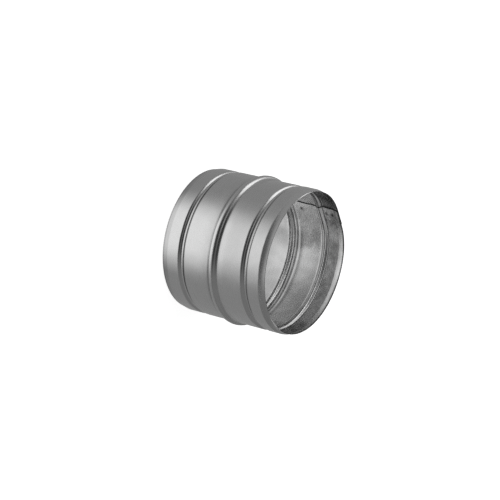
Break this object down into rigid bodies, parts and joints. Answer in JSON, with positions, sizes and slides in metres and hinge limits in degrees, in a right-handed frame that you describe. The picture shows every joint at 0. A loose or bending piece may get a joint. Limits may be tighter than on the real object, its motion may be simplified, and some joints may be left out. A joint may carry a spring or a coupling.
{
  "type": "duct connector",
  "caption": "Short sheet metal spigot that joins two lengths of round duct, with a stop bead round the middle, two grooves and drawn-in ends.",
  "frame": {"origin": "on the tube's axis, in the plane of the lower rim", "axes": "+Z along the tube's axis from the lower to the upper rim, +X and +Y across the tube, with the lap seam at 139.75 degrees from +X towards +Y"},
  "size_m": [0.103, 0.103, 0.082],
  "materials": {
    "galvanised_steel": "galvanised sheet, satin grey with a fine rolled grain"
  },
  "bodies": {
    "root": {"connector_shell": "galvanised_steel"}
  },
  "joints": []
}
